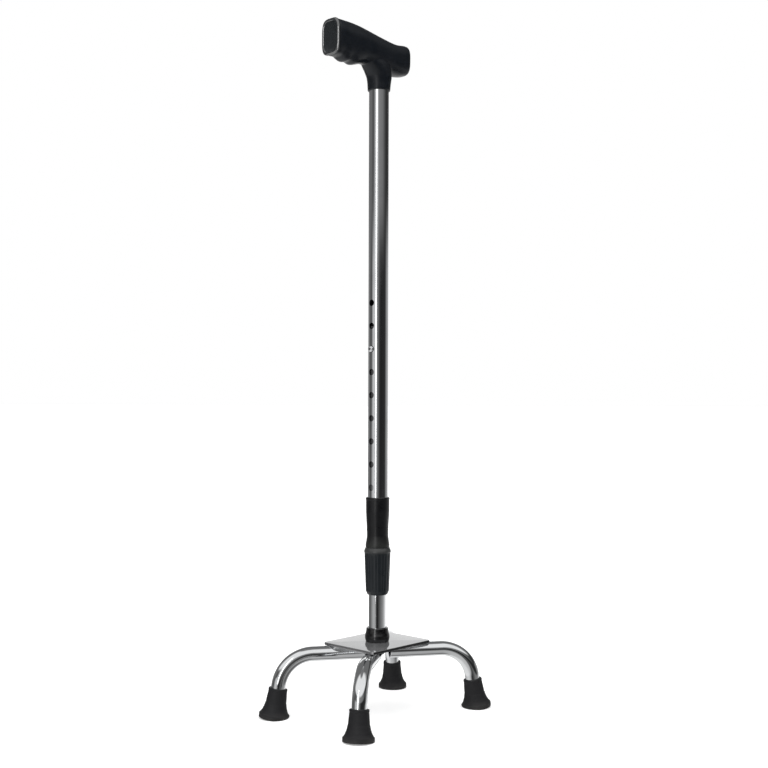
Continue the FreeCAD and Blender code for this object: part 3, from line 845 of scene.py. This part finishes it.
def leg_line():
    """Centres and directions along one leg over the +X axis, from its inner end to the end in the tip."""
    corner_x = FOOT_REACH - (LEG_Z + TIP_SINK) * math.tan(LEG_SPLAY)
    turn = math.pi / 2 - LEG_SPLAY
    setback = LEG_BEND_R * math.tan(turn / 2)
    bend_x = corner_x - setback
    stations = [(Vector((x, 0, LEG_Z)), Vector((1, 0, 0))) for x in
                (LEG_START + (bend_x - LEG_START) * k / 8 for k in range(8))]
    for k in range(49):
        a = turn * k / 48
        centre = Vector((bend_x + LEG_BEND_R * math.sin(a), 0, LEG_Z - LEG_BEND_R * (1 - math.cos(a))))
        stations.append((centre, Vector((math.cos(a), 0, -math.sin(a)))))
    whole = (LEG_Z + TIP_SINK) / math.cos(LEG_SPLAY)
    run = whole - setback - TIP_FLOOR
    start, down = stations[-1]
    stations += [(start + down * run * k / 6, down) for k in range(1, 7)]
    return stations


def ring_about(centre, direction, radius, segments=64):
    side = Vector((0, 1, 0))
    up = direction.cross(side)
    return [centre + radius * (side * math.cos(a) + up * math.sin(a))
            for a in (2 * math.pi * k / segments for k in range(segments))]


def leg(corner):
    """A bent tube, its cut ends eased, turned to its corner of the base."""
    line = leg_line()
    ease = 0.3 * MM
    inner = LEG_R - LEG_WALL
    (first, out), (last, down) = line[0], line[-1]
    rings = [ring_about(first, out, inner + ease), ring_about(first, out, LEG_R - ease),
             ring_about(first + out * ease, out, LEG_R)]
    rings += [ring_about(c, d, LEG_R) for c, d in line[1:-1]]
    rings += [ring_about(last - down * ease, down, LEG_R), ring_about(last, down, LEG_R - ease),
              ring_about(last, down, inner + ease), ring_about(last - down * ease, down, inner)]
    rings += [ring_about(c, d, inner) for c, d in line[-2:0:-1]]
    rings.append(ring_about(first + out * ease, out, inner))
    tube = skin("leg_tube_" + corner, rings, CHROME_LEG)
    move(tube, Matrix.Rotation(math.radians(LEG_ANGLES[corner]), 4, "Z"))
    place(tube, "base", "leg_chrome", "leg_" + corner)


WELD_START, WELD_END = 22 * MM, 50 * MM
WELD_SIDE, WELD_DEPTH, WELD_R = 5.3 * MM, 1.0 * MM, 1.7 * MM
WELD_RIPPLES = 17
WELD_STEPS = 84


def weld_ring(side, k):
    """The bead's cross-section at one step along it, swelling and shrinking with the ripples."""
    t = k / WELD_STEPS
    x = WELD_START + (WELD_END - WELD_START) * t
    grain = noise.noise(Vector((x * 400, side * 3, 7)))
    swell = 1.0 + 0.10 * math.sin(t * 2 * math.pi * WELD_RIPPLES) + 0.10 * grain
    closing = math.sqrt(max(0.0, 1 - abs(2 * t - 1) ** 12))
    radius = max(0.05 * MM, WELD_R * swell * closing)
    centre = Vector((x, side * WELD_SIDE, PLATE_LOW.z - WELD_DEPTH))
    return ring_about(centre, Vector((1, 0, 0)), radius, 14)


def weld_beads(corner):
    """Two rippled fillets where a leg lies along the underside of the plate."""
    for side, name in ((1, "a"), (-1, "b")):
        first, last = (Vector((x, side * WELD_SIDE, PLATE_LOW.z - WELD_DEPTH))
                       for x in (WELD_START, WELD_END))
        rings = [[first], *(weld_ring(side, k) for k in range(WELD_STEPS + 1)), [last]]
        for ring in rings:
            for p in ring:
                p.z = min(p.z, PLATE_LOW.z)
        bead = skin(f"weld_{corner}_{name}", rings, CHROME_LEG, False, 60)
        move(bead, Matrix.Rotation(math.radians(LEG_ANGLES[corner]), 4, "Z"))
        place(bead, "base", "leg_chrome")


def tip(corner):
    """A flared rubber cup on the leg's end, its sole pressed flat where it meets the floor."""
    flange, height = TIP_FLANGE_R / MM, TIP_HEIGHT / MM
    outline = [(0, 2.0), (3.0, 2.0, 0.3), (3.0, 0.0, 0.3), (6.0, 0.0, 0.3), (6.0, 1.6, 0.3), (7.4, 1.6, 0.3),
               (7.4, 0.0, 0.3), (10.4, 0.0, 0.3), (10.4, 1.6, 0.3), (11.8, 1.6, 0.3), (11.8, 0.0, 0.3),
               (flange - 0.1, 0.0, 0.9), (flange, 4.7, 0.6), (flange - 1.2, 5.9, 0.8), (14.0, 8.2, 3.0),
               (12.4, 12.4, 6.0), (11.6, 16.3, 0.2), (11.3, 16.8, 0.2), (10.9, 22.0, 8.0),
               (10.15, height - 2.6, 0.2), (10.4, height - 2.1, 0.2), (10.3, height, 0.6),
               (8.0, height, 0.4), (8.0, TIP_FLOOR / MM), (0, TIP_FLOOR / MM)]
    cup = lathe("tip_moulding_" + corner, rounded(outline, 5), RUBBER, 96)
    stand = Matrix.Translation((FOOT_REACH, 0, -TIP_SINK)) @ Matrix.Rotation(-LEG_SPLAY, 4, "Y")
    move(cup, Matrix.Rotation(math.radians(LEG_ANGLES[corner]), 4, "Z") @ stand)
    for vertex in cup.data.vertices:
        vertex.co.z = max(vertex.co.z, 0.0)
    place(cup, "base", "tip_rubber", "tip_" + corner)


def hub():
    """The glossy boss over the inner tube's foot, with a thin lip at its top and foot."""
    top, low, tube = HUB_HIGH.z / MM, HUB_LOW.z / MM, INNER_R / MM
    widest = HUB_HIGH.x / MM
    outline = [(tube, top, 0.2), (12.0, top, 0.8), (12.35, top - 3.4, 1.0), (12.75, top - 5.6, 5.0),
               (widest, top - 8.3, 2.5), (widest, low + 3.6, 2.5), (12.6, low, 0.4), (tube, low)]
    boss = lathe("hub_boss_moulding", rounded(outline, 6), HUB_PLASTIC, 128)
    place(boss, "base", "hub_plastic", "hub_boss")


LOCK_WASHER_T = 2.1                  # mm


def base_bolt():
    """A hexagon-head bolt seen from beneath, its corners chamfered."""
    seat, low = WASHER_LOW.z / MM - LOCK_WASHER_T, BOLT_LOW.z / MM
    across, shank = BOLT_HIGH.y, 4 * MM
    count = 72

    def hexagon(a):
        return across / math.cos((a + math.pi / 6) % (math.pi / 3) - math.pi / 6)

    def ring(radius_at, height_at):
        return [Vector((radius_at(a) * math.cos(a), radius_at(a) * math.sin(a), height_at(a) * MM))
                for a in (2 * math.pi * k / count for k in range(count))]

    face_r = across * 0.96
    rings = [[Vector((0, 0, low + 0.25)) * MM], ring(lambda a: across * 0.55, lambda a: low + 0.25),
             ring(lambda a: across * 0.62, lambda a: low), ring(lambda a: face_r, lambda a: low),
             ring(hexagon, lambda a: low + (hexagon(a) - face_r) / MM * 0.58),
             ring(hexagon, lambda a: seat - 0.35), ring(lambda a: across * 0.94, lambda a: seat - 0.3),
             ring(lambda a: across * 0.94, lambda a: seat), ring(lambda a: shank, lambda a: seat),
             ring(lambda a: shank, lambda a: BOLT_HIGH.z / MM), [Vector((0, 0, BOLT_HIGH.z))]]
    bolt = skin("base_bolt_hexagon", rings, ZINC, False, 24)
    place(bolt, "base", "bolt_steel", "base_bolt")


def base():
    base_plate()
    hub()
    base_bolt()
    for corner in CORNERS:
        leg(corner)
        weld_beads(corner)
        tip(corner)


# ---- CAD nodes that keep their own mesh ----
def paint(node, material):
    piece = NODES[node]
    piece.data.materials.clear()
    piece.data.materials.append(material)


def painted_nodes():
    paint("button_spring", SPRING_STEEL)
    paint("split_ferrule", NYLON)
    paint("tube_plug", DARK_STEEL)
    paint("base_washer", ZINC)
    paint("base_lock_washer", ZINC)
    for corner in CORNERS:
        paint("tip_disc_" + corner, DARK_STEEL)


# ---- studio ----
CAMERA_TURN = math.radians(43.36)    # from +X to the level direction in which the camera looks
CAMERA_DISTANCE = 1.30
CAMERA_HEIGHT = 0.3455
CAMERA_SIDESTEP = 0.0066
CAMERA_UP = math.radians(0.70)
CAMERA_ROLL = math.radians(0.18)
CAMERA_LENS = 55.1

ALONG = Vector((math.cos(CAMERA_TURN), math.sin(CAMERA_TURN), 0))
RIGHT = Vector((math.sin(CAMERA_TURN), -math.cos(CAMERA_TURN), 0))
UP = Vector((0, 0, 1))


def camera():
    data = bpy.data.cameras.new("camera")
    data.lens, data.sensor_width = CAMERA_LENS, 36
    data.clip_start, data.clip_end = 0.01, 50
    view = new_object("camera", data)
    forward = ALONG * math.cos(CAMERA_UP) + UP * math.sin(CAMERA_UP)
    up = RIGHT.cross(forward)
    across = RIGHT * math.cos(CAMERA_ROLL) + up * math.sin(CAMERA_ROLL)
    up = across.cross(forward)
    turn = Matrix((across, up, -forward)).transposed().to_4x4()
    at = -ALONG * CAMERA_DISTANCE + RIGHT * CAMERA_SIDESTEP + UP * CAMERA_HEIGHT
    view.matrix_world = Matrix.Translation(at) @ turn
    bpy.context.scene.camera = view


FLOOR_GLOW = 0.28                    # lightens the shadow under the cane


def floor():
    """A plain pale floor reaching past the horizon, kept out of mirror reflections."""
    s = Shade("studio_floor", (0.93, 0.93, 0.93), roughness=0.85)
    s.color(s.tint(s.spread(s.noise(3, 2), 0.3, 0.7, 0, 1), (0.92, 0.92, 0.92), (0.94, 0.94, 0.94)))
    s.shader.inputs["Emission Color"].default_value = (1, 1, 1, 1)
    s.shader.inputs["Emission Strength"].default_value = FLOOR_GLOW
    half = 60.0
    points = [Vector((x * half, y * half, 0)) for x, y in ((-1, -1), (1, -1), (1, 1), (-1, 1))]
    sheet = mesh_object("studio_floor", points, [(0, 1, 2, 3)], s.material)
    sheet.visible_glossy = False


STRIP_TURN = math.radians(-24)       # to the right of the camera, as the cane sees it
STRIP_REACH = 1.6
STRIP_HEIGHT = 0.62
STRIP_SIZE = (0.20, 1.5)
STRIP_WATTS = 3.4


def overhead_light():
    """A wide, even light from above, which isn't mirrored."""
    data = bpy.data.lights.new("overhead", "SUN")
    data.energy, data.angle = 2.4, math.radians(95)
    overhead = new_object("overhead", data)
    overhead.rotation_euler = (math.radians(6), math.radians(-8), 0)
    overhead.visible_glossy = False


def strip_light():
    """A tall strip to the left of the camera, which draws the long highlights."""
    data = bpy.data.lights.new("strip", "AREA")
    data.shape, data.size, data.size_y = "RECTANGLE", *STRIP_SIZE
    data.energy = STRIP_WATTS
    strip = new_object("strip", data)
    middle = UP * STRIP_HEIGHT
    strip.location = (-ALONG * STRIP_REACH * math.cos(STRIP_TURN) + RIGHT * STRIP_REACH * math.sin(STRIP_TURN)
                      + middle)
    strip.rotation_mode = "QUATERNION"
    strip.rotation_quaternion = (middle - strip.location).to_track_quat("-Z", "Y")
    strip.visible_camera = False


# Degrees to the right of the camera as the cane sees it, and the brightness there: high up, above
# the camera's level, about level with it, below it, and far down. Only reflections and light see
# the panels; to the camera the backdrop is white.
CEILING_PANELS = ((-180, 0.17), (-104, 0.17), (-84, 0.95), (84, 0.95), (104, 0.17), (180, 0.17))
HIGH_PANELS = ((-180, 1.0), (-160, 1.0), (-157, 0.17), (-92, 0.17), (-70, 0.09), (-54, 0.13), (-38, 0.70),
               (-10, 0.70), (0, 0.26), (44, 0.20), (78, 0.06), (100, 0.03), (130, 0.06), (157, 0.07),
               (160, 1.0), (180, 1.0))
LEVEL_PANELS = ((-180, 1.0), (-160, 1.0), (-157, 0.35), (-110, 0.16), (-84, 0.06), (-70, 0.34),
                (-54, 0.66), (-30, 0.62), (-8, 0.26), (14, 0.05), (30, 0.02), (86, 0.03), (112, 0.32),
                (128, 0.42), (156, 0.42), (160, 1.0), (180, 1.0))
LOW_PANELS = ((-180, 1.0), (-160, 1.0), (-157, 0.16), (-100, 0.14), (-72, 0.36), (-50, 0.48), (-28, 0.42),
              (-14, 0.06), (-2, 0.005), (8, 0.03), (30, 0.11), (70, 0.28), (104, 0.56), (124, 1.0),
              (180, 1.0))
FLOOR_PANELS = ((-180, 0.85), (-90, 0.90), (-50, 0.85), (-15, 0.62), (15, 0.56), (45, 0.38), (72, 0.16),
                (112, 0.12), (150, 0.85), (180, 0.85))
ZENITH = (0.22, 0.22, 0.22)

# The sines of elevation between which each row of panels gives way to the next one up.
FLOOR_TO_LOW = (-0.48, -0.28)
LOW_TO_LEVEL = (-0.17, -0.08)
LEVEL_TO_HIGH = (0.10, 0.18)
HIGH_TO_CEILING = (0.34, 0.46)
CEILING_TO_ZENITH = (0.94, 0.985)


def bearing_and_rise(tree):
    """Each direction's bearing, from 0 to 1 right round, and the sine of its elevation."""
    turn = new_node(tree, "ShaderNodeMapping")
    turn.inputs["Rotation"].default_value = (0, 0, math.pi - CAMERA_TURN)
    parts = new_node(tree, "ShaderNodeSeparateXYZ")
    angle = new_node(tree, "ShaderNodeMath", operation="ARCTAN2")
    fraction = new_node(tree, "ShaderNodeMapRange")
    fraction.inputs["From Min"].default_value = -math.pi
    fraction.inputs["From Max"].default_value = math.pi
    everywhere = new_node(tree, "ShaderNodeTexCoord").outputs["Generated"]
    tree.links.new(everywhere, turn.inputs["Vector"])
    tree.links.new(turn.outputs["Vector"], parts.inputs["Vector"])
    tree.links.new(parts.outputs["Y"], angle.inputs[0])
    tree.links.new(parts.outputs["X"], angle.inputs[1])
    tree.links.new(angle.outputs["Value"], fraction.inputs["Value"])
    return fraction.outputs["Result"], parts.outputs["Z"]


def panels(tree, bearing, stops):
    """Brightness by the degrees to the right of the camera, as seen from the cane."""
    ramp = new_node(tree, "ShaderNodeValToRGB")
    for k, (degrees, level) in enumerate(stops):
        at = (degrees + 180) / 360
        stop = ramp.color_ramp.elements[k] if k < 2 else ramp.color_ramp.elements.new(at)
        stop.position = at
        stop.color = (level, level, level, 1)
    tree.links.new(bearing, ramp.inputs["Fac"])
    return ramp.outputs["Color"]


def blend(tree, rise, band, below, above):
    """Goes from below to above as the sine of the elevation crosses that band."""
    ease = new_node(tree, "ShaderNodeMapRange", interpolation_type="SMOOTHSTEP")
    ease.inputs["From Min"].default_value, ease.inputs["From Max"].default_value = band
    tree.links.new(rise, ease.inputs["Value"])
    return new_mix(tree, ease.outputs["Result"], below, above)


def sky():
    """A plain white backdrop, and the studio that the cane mirrors: bright panels and dark gaps."""
    world = bpy.data.worlds.new("studio_tent")
    bpy.context.scene.world = world
    world.use_nodes = True
    tree = world.node_tree
    bearing, rise = bearing_and_rise(tree)
    around = panels(tree, bearing, FLOOR_PANELS)
    for band, stops in ((FLOOR_TO_LOW, LOW_PANELS), (LOW_TO_LEVEL, LEVEL_PANELS),
                        (LEVEL_TO_HIGH, HIGH_PANELS), (HIGH_TO_CEILING, CEILING_PANELS)):
        around = blend(tree, rise, band, around, panels(tree, bearing, stops))
    around = blend(tree, rise, CEILING_TO_ZENITH, around, ZENITH)
    seen = new_node(tree, "ShaderNodeLightPath").outputs["Is Camera Ray"]
    background = tree.nodes["Background"]
    tree.links.new(new_mix(tree, seen, around, (1, 1, 1)), background.inputs["Color"])
    background.inputs["Strength"].default_value = 1.0


# ---- build ----
camera()
floor()
overhead_light()
strip_light()
sky()
bpy.context.scene.view_settings.view_transform = "Standard"

pole()
snap_button()
collar()
lock_nut()
handle()
end_cap()
handle_screw()
base()
painted_nodes()
